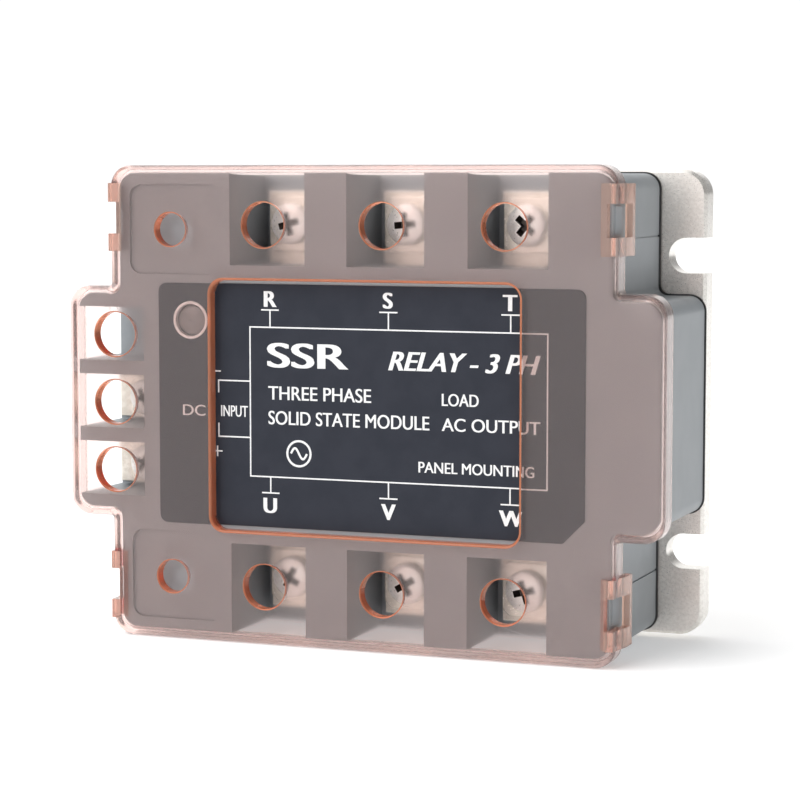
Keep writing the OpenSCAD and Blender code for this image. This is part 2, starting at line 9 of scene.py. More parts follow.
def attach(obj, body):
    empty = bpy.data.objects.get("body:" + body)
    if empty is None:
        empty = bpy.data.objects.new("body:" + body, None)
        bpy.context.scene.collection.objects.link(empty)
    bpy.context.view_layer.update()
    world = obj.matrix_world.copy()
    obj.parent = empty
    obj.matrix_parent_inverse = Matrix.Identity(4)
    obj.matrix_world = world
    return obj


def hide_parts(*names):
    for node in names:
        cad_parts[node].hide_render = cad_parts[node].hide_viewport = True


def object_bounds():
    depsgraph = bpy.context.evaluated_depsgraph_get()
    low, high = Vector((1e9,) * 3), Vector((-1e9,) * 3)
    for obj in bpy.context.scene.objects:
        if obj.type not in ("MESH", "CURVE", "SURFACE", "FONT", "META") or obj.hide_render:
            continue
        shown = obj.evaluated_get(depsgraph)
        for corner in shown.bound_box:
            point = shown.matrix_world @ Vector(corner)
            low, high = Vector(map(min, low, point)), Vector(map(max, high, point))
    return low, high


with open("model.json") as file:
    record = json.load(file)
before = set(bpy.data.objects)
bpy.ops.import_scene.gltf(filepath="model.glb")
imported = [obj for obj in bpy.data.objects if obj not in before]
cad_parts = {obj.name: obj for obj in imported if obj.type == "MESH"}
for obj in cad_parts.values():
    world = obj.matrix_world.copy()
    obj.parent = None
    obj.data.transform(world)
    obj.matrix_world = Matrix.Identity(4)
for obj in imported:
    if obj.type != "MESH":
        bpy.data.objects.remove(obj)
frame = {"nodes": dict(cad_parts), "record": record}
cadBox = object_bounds()
nodes = frame["nodes"]
record = frame["record"]
print("frame loaded:", len(nodes), "nodes")

# Every piece is drawn lying on its back in millimetres: x across, y up the front, z above the
# mounting face. This stands it upright in metres, with its front facing -Y.
upright = Matrix.Rotation(math.radians(90), 4, "X") @ Matrix.Scale(0.001, 4)
columns = {"r": -15.0, "s": 4.8, "t": 24.6, "u": -15.0, "v": 4.8, "w": 24.6}  # power screws
rowHeight = 28.4
controlX = -40.9
controlPitch = 10.85
housingPlan = dict(bandX=40.7, bandY=36.4, midX=48.2, midY=17.2)  # half sizes of the front's plus


class Wire:
    # a socket that takes part in sums, which become Math nodes
    def __init__(self, look, socket):
        self.look, self.socket = look, socket

    def math(self, operation, *values):
        return self.look.node("ShaderNodeMath", {"operation": operation}, dict(enumerate(values)))

    def __add__(self, other):
        return self.math("ADD", self, other)

    def __sub__(self, other):
        return self.math("SUBTRACT", self, other)

    def __rsub__(self, other):
        return self.math("SUBTRACT", other, self)

    def __mul__(self, other):
        return self.math("MULTIPLY", self, other)

    __radd__ = __add__
    __rmul__ = __mul__


class Look:
    # one material or world, its main shader and the nodes around it
    def __init__(self, name, group=bpy.data.materials, shader="Principled BSDF"):
        self.material = group.new(name)
        self.material.use_nodes = True
        self.tree = self.material.node_tree
        self.shader = self.tree.nodes[shader]

    def node(self, kind, settings=None, sockets=None, out=0):
        made = self.tree.nodes.new(kind)
        for key, value in (settings or {}).items():
            if key == "stops":
                ramp = made.color_ramp
                while len(ramp.elements) < len(value):
                    ramp.elements.new(0.5)
                for element, (position, colour) in zip(ramp.elements, value):
                    element.position, element.color = position, colour
            else:
                setattr(made, key, value)
        for key, value in (sockets or {}).items():
            self.feed(made.inputs[key], value)
        return Wire(self, made.outputs[out])

    def feed(self, socket, value):
        if isinstance(value, Wire):
            self.tree.links.new(value.socket, socket)
        else:
            socket.default_value = value

    def set(self, **values):
        # "roughness" fills the socket Roughness, and so on
        for key, value in values.items():
            self.feed(self.shader.inputs[socketNames.get(key, key.title())], value)

    def noise(self, size, detail, stretch=(1, 1, 1)):
        # size is in millimetres on the object
        spot = self.node("ShaderNodeTexCoord", out=3)
        where = self.node("ShaderNodeVectorMath", {"operation": "MULTIPLY"},
                          {0: spot, 1: [1000 * s for s in stretch]})
        return self.node("ShaderNodeTexNoise", sockets={
            "Vector": where, "Scale": 1 / size, "Detail": detail, "Roughness": 0.5})

    def ramp(self, value, low, high):
        return self.node("ShaderNodeMapRange", {"interpolation_type": "SMOOTHSTEP"},
                         {0: value, 1: low, 2: high, 3: 0, 4: 1})

    def blend(self, factor, first, second):
        return self.node("ShaderNodeMix", {"data_type": "RGBA"},
                         {0: factor, 6: first, 7: second}, out=2)

    def bump(self, height, distance, strength):
        return self.node("ShaderNodeBump", sockets={
            "Height": height, "Distance": distance / 1000, "Strength": strength})


socketNames = {
    "colour": "Base Color", "coat": "Coat Weight", "coatRoughness": "Coat Roughness",
    "transmission": "Transmission Weight", "ior": "IOR", "specular": "Specular IOR Level",
    "emission": "Emission Color", "glow": "Emission Strength",
}


def rowOf(letter):
    return rowHeight if letter in "rst" else -rowHeight


def paint(rgb):
    return (*rgb, 1)


def speckledLook(name, finish, patch=(0.32, 0.68), strength=0.6):
    # two close tones mottled together, an uneven gloss and a fine relief
    look = Look(name)
    tone = look.ramp(look.noise(finish["mottle"], 4), *patch)
    grain = look.noise(finish["grain"], 2, stretch=finish.get("stretch", (1, 1, 1)))
    spread = finish["unevenGloss"]
    look.set(colour=look.blend(tone, paint(finish["dark"]), paint(finish["light"])),
             roughness=grain * spread + (finish["rough"] - spread / 2),
             normal=look.bump(grain, finish["relief"], strength),
             metallic=finish.get("metal", 0.0))
    for key in ("coat", "coatRoughness", "specular", "ior", "transmission"):
        if key in finish:
            look.set(**{key: finish[key]})
    return look


def place(name, data):
    made = bpy.data.objects.new(name, data)
    bpy.context.scene.collection.objects.link(made)
    return made


def freeze(draft, name):
    # turns an edited mesh into mesh data
    data = bpy.data.meshes.new(name)
    draft.to_mesh(data)
    draft.free()
    return data


class Draft:
    # a mesh drawn lying down in millimetres
    def __init__(self):
        self.mesh = bmesh.new()

    def ring(self, points, z):
        return [self.mesh.verts.new((x, y, z)) for x, y in points]

    def bridge(self, lower, upper):
        for i in range(len(lower)):
            j = (i + 1) % len(lower)
            self.mesh.faces.new((lower[i], lower[j], upper[j], upper[i]))

    def stack(self, rings):
        made = [self.ring(points, z) for points, z in rings]
        for lower, upper in zip(made, made[1:]):
            self.bridge(lower, upper)
        return made

    def sheet(self, *rings):
        # flat face bounded by the first ring, with the others as holes
        known = self.mesh.edges
        pairs = [(ring[i - 1], ring[i]) for ring in rings for i in range(len(ring))]
        edges = [known.get(pair) or known.new(pair) for pair in pairs]
        bmesh.ops.triangle_fill(self.mesh, use_beauty=True, use_dissolve=False, edges=edges)

    def cap(self, lower, upper):
        # closes both ends of a stack
        self.mesh.faces.new(lower[::-1])
        self.mesh.faces.new(upper)

    def move(self, turn, where):
        verts = self.mesh.verts
        bmesh.ops.rotate(self.mesh, verts=verts, matrix=Matrix.Rotation(math.radians(turn), 3, "Z"))
        bmesh.ops.translate(self.mesh, verts=verts, vec=where)

    def stain(self, index):
        # gives every face one material
        for face in self.mesh.faces:
            face.material_index = index

    def done(self, name):
        bmesh.ops.recalc_face_normals(self.mesh, faces=self.mesh.faces)
        data = freeze(self.mesh, name)
        data.transform(upright)
        return place(name, data)


def arc(cx, cy, r, start, end, steps):
    angles = [math.radians(start + (end - start) * i / steps) for i in range(steps + 1)]
    return [(cx + r * math.cos(a), cy + r * math.sin(a)) for a in angles]


def circle(cx, cy, r, steps=64):
    return arc(cx, cy, r, 0, 360, steps)[:-1]


def roundRect(x0, x1, y0, y1, r, steps=10):
    return (arc(x1 - r, y1 - r, r, 0, 90, steps) + arc(x0 + r, y1 - r, r, 90, 180, steps)
            + arc(x0 + r, y0 + r, r, 180, 270, steps) + arc(x1 - r, y0 + r, r, 270, 360, steps))


def plusOutline(grow, outerR, innerR, steps=10):
    # the relay's plus-shaped outline, moved outwards by grow
    bandX, bandY, midX, midY = (half + grow for half in housingPlan.values())
    quarter = (arc(midX - outerR, midY - outerR, outerR, 0, 90, steps)
               + arc(bandX + innerR, midY + innerR, innerR, 270, 180, steps)
               + arc(bandX - outerR, bandY - outerR, outerR, 0, 90, steps))
    back = quarter[::-1]
    return (quarter + [(-x, y) for x, y in back] + [(-x, -y) for x, y in quarter]
            + [(x, -y) for x, y in back])


def corners(x, y):
    return [(x[0], y[0]), (x[1], y[0]), (x[1], y[1]), (x[0], y[1])]


def bake(piece):
    # applies the piece's modifiers
    graph = bpy.context.evaluated_depsgraph_get()
    data = bpy.data.meshes.new_from_object(piece.evaluated_get(graph))
    piece.modifiers.clear()
    piece.data = data


def carve(piece, tool, operation="DIFFERENCE"):
    cut = piece.modifiers.new("cut", "BOOLEAN")
    cut.operation, cut.object, cut.solver = operation, tool, "EXACT"
    bpy.context.view_layer.update()
    bake(piece)
    bpy.data.objects.remove(tool)


def dress(piece, materials):
    for material in materials:
        piece.data.materials.append(material)
    return piece


def join(pieces, name):
    draft = bmesh.new()
    materials = list(pieces[0].data.materials)
    for piece in pieces:
        draft.from_mesh(piece.data)
        bpy.data.objects.remove(piece)
    return dress(place(name, freeze(draft, name)), materials)


def soften(piece, width, segments=2, sharp=32, crease=50, lead=80):
    # rounds every edge sharper than an angle, width in millimetres, then lets the large
    # faces lead the shading
    if width:
        edge = piece.modifiers.new("edges", "BEVEL")
        edge.width, edge.segments = width / 1000, segments
        edge.limit_method, edge.angle_limit = "ANGLE", math.radians(sharp)
        edge.use_clamp_overlap, edge.miter_outer = True, "MITER_ARC"
        bpy.context.view_layer.update()
        bake(piece)
    for face in piece.data.polygons:
        face.use_smooth = True
    piece.data.set_sharp_from_angle(angle=math.radians(crease))
    smooth = piece.modifiers.new("shading", "WEIGHTED_NORMAL")
    smooth.keep_sharp, smooth.weight = True, lead
    return piece


def finishPiece(piece, body, look, slot, *replaced):
    if look:
        piece.data.materials.clear()
        dress(piece, [look.material])
    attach(piece, body)
    if replaced:
        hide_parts(*replaced)
    return piece


def copyNode(node, name, weld=2e-6, flat=0.6):
    # the CAD node's own shape, welded and cleared of its flat triangles
    draft = bmesh.new()
    draft.from_mesh(nodes[node].data)
    bmesh.ops.remove_doubles(draft, verts=draft.verts, dist=weld)
    bmesh.ops.dissolve_limit(draft, angle_limit=math.radians(flat),
                             verts=draft.verts, edges=draft.edges)
    return place(name, freeze(draft, name))


# finishes: mottle, grain and relief are sizes in millimetres

plateFinish = dict(dark=(0.80, 0.77, 0.725), light=(0.93, 0.90, 0.855), mottle=0.5, grain=0.16,
                   unevenGloss=0.2, rough=0.3, relief=0.012, metal=0.8)
# a black bead round the foot of the housing, where it meets the base plate
footBeadFinish = dict(dark=(0.006, 0.006, 0.007), light=(0.012, 0.012, 0.013), mottle=1.5, grain=0.8,
                     unevenGloss=0.2, rough=0.45, relief=0.08)
housingFinish = dict(dark=(0.315, 0.34, 0.36), light=(0.335, 0.36, 0.38), mottle=5.0, grain=0.12,
                     unevenGloss=0.12, rough=0.46, relief=0.008)
labelFinish = dict(dark=(0.030, 0.033, 0.044), light=(0.035, 0.038, 0.050), mottle=4.0, grain=0.1,
                   unevenGloss=0.1, rough=0.42, relief=0.002, specular=0.1)
inkFinish = dict(dark=(0.80, 0.80, 0.80), light=(0.88, 0.88, 0.88), mottle=0.5, grain=0.08,
                 unevenGloss=0.1, rough=0.5, relief=0.002)
# the LED's ring, near white: its whiteness is a painted rim highlight round the LED
ringPaintedHighlightFinish = dict(dark=(0.95, 0.94, 0.93), light=(0.98, 0.97, 0.96), mottle=1.0, grain=0.1,
                  unevenGloss=0.1, rough=0.3, relief=0.003)
ledFinish = dict(dark=(0.20, 0.19, 0.19), light=(0.24, 0.23, 0.23), mottle=1.2, grain=0.2,
                 unevenGloss=0.1, rough=0.25, relief=0.003, coat=0.5, coatRoughness=0.1)
terminalFinish = dict(dark=(0.84, 0.79, 0.70), light=(0.97, 0.93, 0.85), mottle=0.9, grain=0.1,
                      unevenGloss=0.2, rough=0.3, relief=0.006, metal=0.5, stretch=(1, 1, 3))
washerFinish = dict(terminalFinish, rough=0.24, grain=0.2, stretch=(1, 1, 1))
screwFinish = dict(dark=(0.90, 0.88, 0.84), light=(0.98, 0.965, 0.94), mottle=0.7, grain=0.3,
                   unevenGloss=0.16, rough=0.3, relief=0.004, metal=0.4)
# the cross recess walls: dark as painted shade, the shade that falls inside the recess
recessPaintedShadeFinish = dict(dark=(0.05, 0.04, 0.035), light=(0.09, 0.075, 0.065), mottle=0.7, grain=0.2,
                    unevenGloss=0.16, rough=0.4, relief=0.004, metal=0.5)
nutFinish = dict(screwFinish, rough=0.35)
boardFinish = dict(dark=(0.01, 0.09, 0.035), light=(0.018, 0.13, 0.05), mottle=0.9, grain=0.3,
                   unevenGloss=0.15, rough=0.35, relief=0.01, coat=0.3)
packageFinish = dict(dark=(0.015, 0.015, 0.017), light=(0.028, 0.028, 0.03), mottle=0.5, grain=0.08,
                     unevenGloss=0.15, rough=0.5, relief=0.008)
resistorFinish = dict(dark=(0.30, 0.36, 0.38), light=(0.38, 0.44, 0.46), mottle=0.6, grain=0.1,
                      unevenGloss=0.15, rough=0.4, relief=0.006)
capacitorFinish = dict(dark=(0.45, 0.33, 0.05), light=(0.55, 0.42, 0.08), mottle=1.0, grain=0.15,
                       unevenGloss=0.15, rough=0.4, relief=0.008)
copperFinish = dict(dark=(0.55, 0.26, 0.15), light=(0.70, 0.36, 0.22), mottle=0.8, grain=0.12,
                    unevenGloss=0.2, rough=0.35, relief=0.006, metal=1.0)
aluminaFinish = dict(dark=(0.72, 0.71, 0.68), light=(0.80, 0.79, 0.76), mottle=0.5, grain=0.06,
                     unevenGloss=0.2, rough=0.6, relief=0.008)
siliconFinish = dict(dark=(0.10, 0.11, 0.14), light=(0.14, 0.15, 0.19), mottle=0.8, grain=0.3,
                     unevenGloss=0.1, rough=0.2, relief=0.002, metal=0.6)
gelFinish = dict(dark=(0.60, 0.60, 0.62), light=(0.70, 0.70, 0.72), mottle=3.0, grain=1.0,
                 unevenGloss=0.1, rough=0.15, relief=0.02, transmission=0.8, ior=1.41)

looks = {
    "nickel_plate": speckledLook("nickelPlate", plateFinish),
    "black_sealant": speckledLook("blackFootBead", footBeadFinish),
    "slate_housing": speckledLook("slateHousing", housingFinish),
    "label_film": speckledLook("labelFilm", labelFinish),
    "bezel_plastic": speckledLook("bezelPaintedHighlight", ringPaintedHighlightFinish),
    "led_epoxy": speckledLook("ledEpoxy", ledFinish),
    "terminal_plating": speckledLook("terminalPlating", terminalFinish),
    "washer_plating": speckledLook("washerPlating", washerFinish),
    "screw_plating": speckledLook("screwPlating", screwFinish),
    "nut_plating": speckledLook("nutPlating", nutFinish),
    "board_laminate": speckledLook("boardLaminate", boardFinish),
    "package_epoxy": speckledLook("packageEpoxy", packageFinish),
    "resistor_body": speckledLook("resistorBody", resistorFinish),
    "capacitor_case": speckledLook("capacitorCase", capacitorFinish),
    "bare_copper": speckledLook("bareCopper", copperFinish),
    "alumina": speckledLook("aluminaCeramic", aluminaFinish),
    "silicon": speckledLook("siliconChip", siliconFinish),
    "silicone_gel": speckledLook("siliconeGel", gelFinish),
}
labelInk = speckledLook("labelInk", inkFinish)
recessPaintedShadeLook = speckledLook("crossRecessPaintedShade", recessPaintedShadeFinish)
print("finishes made:", len(looks) + 2)


# cover: one moulding with nine driver holes, two vents, a window and four latch loops

cover = dict(top=33.1, under=31.3, skirtEnd=28.1, gap=0.2, wall=1.1, edgeR=1.6, cornerR=3.3,
             cavityR=2.5, innerCornerR=0.6, fillet=0.5, rim=0.2, rimMid=0.3,
             holeEdge=0.22, windowEdge=0.45,
             driverR=3.5, ventR=2.6, windowX=(-24.1, 27.0), windowY=(-19.7, 19.7), windowR=2.2,
             ventX=-31.0, ventY=27.6, steps=8)
latch = dict(y=(24.1, 34.9), windowY=(26.9, 31.9), out=42.6, inner=41.4, end=25.1, bar=1.3,
             frontX=39.6, frontCut=40.5, brow=0.1, slope=2, lead=0.4, root=1, past=1, edge=0.14)

coverTints = {
    # body; cut walls of the holes and window, with an orange painted edge glow; latch posts, with a
    # pink painted glow
    "smokeCover": dict(dark=(0.98, 0.955, 0.95), light=(0.99, 0.97, 0.965),
                       clear=0.975, rough=0.16),
    "smokeCoverCutPaintedGlow": dict(dark=(0.99, 0.32, 0.15), light=(1.0, 0.39, 0.21),
                          clear=0.62, rough=0.12),
    "smokeCoverLatchPaintedGlow": dict(dark=(0.99, 0.72, 0.60), light=(1.0, 0.78, 0.67),
                            clear=0.8, rough=0.12),
}
coverDepth = dict(colour=(0.93, 0.25, 0.08), density=85.0, ior=1.42, specular=0.3,
                  cloud=9, unevenGloss=0.04)


def coverLook(name):
    tint, d = coverTints[name], coverDepth
    look = Look(name)
    cloud = look.noise(d["cloud"], 3)
    look.set(colour=look.blend(cloud, paint(tint["dark"]), paint(tint["light"])),
             roughness=cloud * d["unevenGloss"] + tint["rough"], transmission=tint["clear"],
             ior=d["ior"], specular=d["specular"])
    # the longer the way through the plastic, the redder
    haze = look.node("ShaderNodeVolumeAbsorption", sockets={
        "Color": paint(d["colour"]), "Density": d["density"]})
    look.feed(look.tree.nodes["Material Output"].inputs["Volume"], haze)
    return look


def holeProfile(loop, edge, top, bottom, steps=4):
    # front edge rounded outwards, then straight down; loop(grow) gives the outline
    rings = []
    for i in range(steps + 1):
        a = math.radians(90 - 90 * i / steps)
        rings.append((loop(edge - edge * math.cos(a)), top - edge + edge * math.sin(a)))
    return rings + [(loop(0), bottom)]


def buildCover():
    c = cover
    grow = c["gap"] + c["wall"]
    draft = Draft()
    outline = lambda inset: plusOutline(grow - inset, c["cornerR"] - inset,
                                        c["innerCornerR"] + inset)
    cavity = lambda inset: plusOutline(c["gap"] - inset, c["cavityR"] - inset,
                                       c["innerCornerR"] + c["wall"] + inset)
    fillet, end, rim = c["fillet"], c["skirtEnd"], c["rim"]
    mid = rim * c["rimMid"]
    rings = []
    for i in range(4):  # inside corner between wall and front
        a = math.radians(90 - 30 * i)
        rings.append((cavity(fillet - fillet * math.cos(a)),
                      c["under"] - fillet + fillet * math.sin(a)))
    # round the skirt's end
    rings += [(cavity(0), end + rim), (cavity(-mid), end + mid), (cavity(-rim), end),
              (outline(rim), end), (outline(mid), end + mid), (outline(0), end + rim)]
    for i in range(c["steps"] + 1):
        a = math.radians(90 * i / c["steps"])
        rings.append((outline(c["edgeR"] - c["edgeR"] * math.cos(a)),
                      c["top"] - c["edgeR"] + c["edgeR"] * math.sin(a)))
    shell = draft.stack(rings)
    inner, front = [shell[0]], [shell[-1]]

    def addHole(loop, edge):
        known = set(draft.mesh.faces)
        made = draft.stack(holeProfile(loop, edge, c["top"], c["under"]))
        # the hole and window walls take the orange painted edge glow
        for face in set(draft.mesh.faces) - known:
            face.material_index = 1
        front.append(made[0])
        inner.append(made[-1])

    for name, x in columns.items():
        addHole(lambda g, x=x, y=rowOf(name): circle(x, y, c["driverR"] + g), c["holeEdge"])
    for k in (-1, 0, 1):
        addHole(lambda g, y=k * controlPitch: circle(controlX, y, c["driverR"] + g), c["holeEdge"])
    for y in (-c["ventY"], c["ventY"]):
        addHole(lambda g, y=y: circle(c["ventX"], y, c["ventR"] + g, 48), c["holeEdge"])
    (x0, x1), (y0, y1) = c["windowX"], c["windowY"]
    addHole(lambda g: roundRect(x0 - g, x1 + g, y0 - g, y1 + g, c["windowR"] + g), c["windowEdge"])
    draft.sheet(*front)
    draft.sheet(*inner)
    return draft.done("cover_shell")


def latchPost(sx, y0, y1):
    # one loop's block, from the front down past the skirt's end
    n, c = latch, cover
    wallIn = housingPlan["bandX"] + c["gap"]
    wallOut = wallIn + c["wall"]
    side = [(n["frontX"], c["top"]), (wallOut - n["brow"], c["top"]),
            (wallOut, c["top"] - n["slope"]), (n["out"], c["skirtEnd"]), (n["out"], n["end"]),
            (n["inner"], n["end"]), (n["inner"], c["skirtEnd"] - n["lead"]),
            (wallIn, c["skirtEnd"] + n["root"]), (wallIn, c["under"]), (n["frontX"], c["under"])]
    draft = Draft()
    ends = [[draft.mesh.verts.new((sx * x, y, z)) for x, z in side] for y in (y0, y1)]
    draft.bridge(*ends)
    draft.cap(*ends)
    # the posts take the pink painted glow
    draft.stain(2)
    return draft.done("post")


def latchGap(sx, sy):
    # the opening in a loop, which leaves a bar at its end
    n = latch
    plan = corners(sorted((sx * n["frontCut"], sx * (n["out"] + n["past"]))),
                   sorted(sy * y for y in n["windowY"]))
    draft = Draft()
    draft.cap(*draft.stack([(plan, n["end"] + n["bar"]), (plan, cover["top"] + n["past"])]))
    # the opening's cut faces take the pink painted glow
    draft.stain(2)
    return draft.done("gap")


def coverPiece():
    # the same material list on shell and tools carries their faces' looks through the cuts
    shell = buildCover()
    posts, gaps = [], []
    for sx in (-1, 1):
        for sy in (-1, 1):
            posts.append(latchPost(sx, *(sy * y for y in latch["y"])))
            gaps.append(latchGap(sx, sy))
    looksOfCover = [coverLook(name).material for name in coverTints]
    for piece in (shell, *posts, *gaps):
        dress(piece, looksOfCover)
    carve(shell, join(posts, "posts"), "UNION")
    carve(shell, join(gaps, "gaps"))
    return soften(shell, latch["edge"], 2, 40)


finishPiece(coverPiece(), "cover", None, "smoke_cover", "cover")
print("cover built")


# housing, base and the plated parts keep the CAD's shape, with rounded edges

edges = {  # node: its piece here, edge width and segments
    "base_plate": ("base_plate_bevelled", 0.12, 2),
    "base_seal": ("housing_foot_bead", 0.25, 3),
    "housing": ("housing_moulding", 0.3, 3),
    "label": ("label_film_sheet", 0.05, 1),
    "led_bezel": ("led_ring", 0.14, 3),
    "status_led": ("led_body", 0.0, 1),
    "control_terminal_minus": ("control_plate_minus", 0.1, 2),
    "control_terminal_plus": ("control_plate_plus", 0.1, 2),
    "circuit_board": ("board", 0.0, 1),
}
for letter in columns:
    edges["power_terminal_" + letter] = ("power_plate_" + letter, 0.12, 2)
    edges["clamp_washer_" + letter] = ("clamp_plate_" + letter, 0.14, 2)
for sign in ("minus", "plus"):
    edges["control_washer_" + sign] = ("control_clamp_" + sign, 0.12, 2)

bodyOf = {node: body for body, members in record["behaviour"]["bodies"].items() for node in members}
slotOf = {node: mesh.data.materials[0].name.split(".")[0] for node, mesh in nodes.items()}
for node, (name, width, segments) in edges.items():
    piece = soften(copyNode(node, name), width, segments)
    finishPiece(piece, bodyOf[node], looks[slotOf[node]], slotOf[node], node)
print("plates, housing and label edged")


# screws: a threaded shank and a pan head with a cross recess, each left at its own turn

screw = {
    "power": dict(headR=3.25, headH=2.2, shankR=2.0, shank=8.0, pitch=0.7, threadDepth=0.256,
                  recess=4.0, base=20.7),
    "control": dict(headR=2.8, headH=2.0, shankR=1.5, shank=6.0, pitch=0.5, threadDepth=0.192,
                    recess=3.2, base=21.1),
}
screwShape = dict(steps=48, rowsPerTurn=8, tip=0.45, tipFoot=1.5, tipSlope=1.1, crown=0.2,
                  crownSteps=10, edge=0.22, edgeMid=0.3, brow=0.08, edgeWidth=0.07,
                  slot=0.13, slotTaper=(0.75, 0.3), slotFoot=(0.32, 0.0, 0.62),
                  slotMouth=(1.0, 0.3, 1.05))  # both: share of the head's height, more, size
screwTurns = {"r": 15, "s": 5, "t": 50, "u": -30, "v": -60, "w": -75, "minus": 20, "plus": 65}


def threadedShank(s, h):
    # a thread of one start, which tapers at the tip
    tip = s["shankR"] * h["tip"]
    rows = int(s["shank"] / s["pitch"] * h["rowsPerTurn"])
    rings = []
    for j in range(rows + 1):
        z = -s["shank"] + s["shank"] * j / rows
        points = []
        for i in range(h["steps"]):
            a = 2 * math.pi * i / h["steps"]
            phase = (z / s["pitch"] - i / h["steps"]) % 1
            r = s["shankR"] - s["threadDepth"] * abs(2 * phase - 1)
            r = min(r, tip * h["tipFoot"] + (z + s["shank"]) * h["tipSlope"])
            points.append((r * math.cos(a), r * math.sin(a)))
        rings.append((points, z))
    return rings


def screwPiece(name, kind, x, y, turn):
    s, h = screw[kind], screwShape
    outer, top, edge = s["headR"], s["headH"], h["edge"]
    crown = top * h["crown"]
    side, crownR = top - crown, (outer ** 2 + crown ** 2) / (2 * crown)
    mid = edge * h["edgeMid"]
    disc = lambda r: circle(0, 0, r, h["steps"])
    rings = threadedShank(s, h) + [
        (disc(outer - edge), 0.0), (disc(outer - mid), mid), (disc(outer), edge),
        (disc(outer), side - edge), (disc(outer - h["brow"]), side)]
    for i in range(1, h["crownSteps"]):
        share = 1 - i / h["crownSteps"]
        r = outer * share - h["brow"] * share
        rings.append((disc(r), top - crownR + math.sqrt(crownR ** 2 - r ** 2)))
    draft = Draft()
    made = draft.stack(rings)
    draft.cap(made[0], made[-1])
    draft.move(turn, (x, y, s["base"]))
    pair = (looks["screw_plating"].material, recessPaintedShadeLook.material)
    piece = dress(draft.done(name), pair)
    # cross recess: two tapered slots, whose walls take the dark painted shade
    wider, more = h["slotTaper"]
    for angle in (0, 90):
        tool = Draft()
        loops = []
        for share, above, size in (h["slotFoot"], h["slotMouth"]):
            half, wide = s["recess"] / 2 * size, s["recess"] * h["slot"] * (wider + more * size)
            loops.append((corners((-half, half), (-wide, wide)), top * share + above))
        tool.cap(*tool.stack(loops))
        tool.move(turn + angle, (x, y, s["base"]))
        tool.stain(1)
        carve(piece, dress(tool.done("slot"), pair))
    return soften(piece, h["edgeWidth"], 2, 38)


for letter, x in columns.items():
    piece = screwPiece("power_pan_screw_" + letter, "power", x, rowOf(letter), screwTurns[letter])
    finishPiece(piece, "screw_" + letter, None, "screw_plating", "power_screw_" + letter)
for sign, y in (("minus", 0.0), ("plus", -controlPitch)):
    piece = screwPiece("control_pan_screw_" + sign, "control", controlX, y, screwTurns[sign])
    finishPiece(piece, "screw_" + sign, None, "screw_plating", "control_screw_" + sign)
print("screws built")


# label print: words, frame, ticks, an input bracket and a sine wave, in millimetres

printing = dict(z=31.1, thick=0.03, line=0.22, frameX=(-18.4, 30.8), frameY=(-11.15, 12.4),
                tickX=(-14.95, 4.95, 24.75), tickTop=15.12, tickBottom=-13.7, tickHalf=1.5,
                letterBold=0.32, strikes=4, strikeRise=0.003, shift=0.27, capShare=0.72)
bracket = dict(x=-24.0, y=(3.85, -5.05), gap=(-2.9, 1.9))  # round the word for the input
signs = (((-25.2, -23.5), (5.2, 5.42)), ((-25.0, -23.3), (-7.5, -7.28)),  # minus, then plus
         ((-24.26, -24.04), (-7.28, -6.55)), ((-24.26, -24.04), (-8.25, -7.5)))
wave = dict(x=-10.1, y=-7.3, ringR=2.15, ringHole=0.84, half=1.35, height=0.85, width=0.34)
words = [  # text, left x, foot y, cap height, width to fill, slant, bold stroke added
    ("SSR", -15.5, 6.1, 3.9, 13.3, 0, 0.5),
    ("RELAY - 3 PH", 4.9, 6.2, 2.95, 24.5, 0.3, 0.3),
    ("THREE PHASE", -15.3, 1.05, 2.15, 17.3, 0, 0.09),
    ("SOLID STATE MODULE", -15.3, -2.85, 2.15, 26.9, 0, 0.09),
    ("LOAD", 13.7, 1.0, 1.9, 5.9, 0, 0.09),
    ("AC OUTPUT", 13.7, -2.85, 2.0, 15.9, 0, 0.09),
    ("DC", -29.9, -1.85, 1.75, 3.9, 0, 0.06),
    ("INPUT", -23.5, -1.85, 1.75, 4.6, 0, 0.06),
    ("PANEL MOUNTING", 9.9, -9.4, 1.7, 18.8, 0, 0.08),
]
letters = [("R", -14.9, 15.6, 2.45), ("S", 4.85, 15.7, 2.45), ("T", 24.65, 15.7, 2.45),
           ("U", -15.05, -16.9, 2.4), ("V", 4.95, -17.0, 2.45), ("W", 24.95, -17.0, 2.4)]


def printedText(draft, text, x, y, height, width=None, slant=0.0, bold=0.0, centred=False):
    curve = bpy.data.curves.new("text", "FONT")
    curve.body, curve.size, curve.shear = text, height / printing["capShare"], slant
    curve.resolution_u, curve.fill_mode = 6, "FRONT"
    holder = place("text", curve)
    bpy.context.view_layer.update()
    graph = bpy.context.evaluated_depsgraph_get()
    data = bpy.data.meshes.new_from_object(holder.evaluated_get(graph))
    bpy.data.objects.remove(holder)
    xs = [v.co.x for v in data.vertices]
    ys = [v.co.y for v in data.vertices]
    sx = width / (max(xs) - min(xs)) if width else height / (max(ys) - min(ys))
    sy = height / (max(ys) - min(ys))
    shift = (max(xs) + min(xs)) / 2 if centred else min(xs)
    back = bold / 2 if centred else 0
    for v in data.vertices:
        v.co = ((v.co.x - shift) * sx + x - back, (v.co.y - min(ys)) * sy + y, 0)
    # struck several times, each a little to the right and higher, for a bold stroke
    for i in range(printing["strikes"]):
        draft.from_mesh(data)
        data.transform(Matrix.Translation(
            (bold / (printing["strikes"] - 1), 0, printing["strikeRise"])))


def strip(draft, x, y):
    draft.faces.new([draft.verts.new((*corner, 0)) for corner in corners(x, y)])


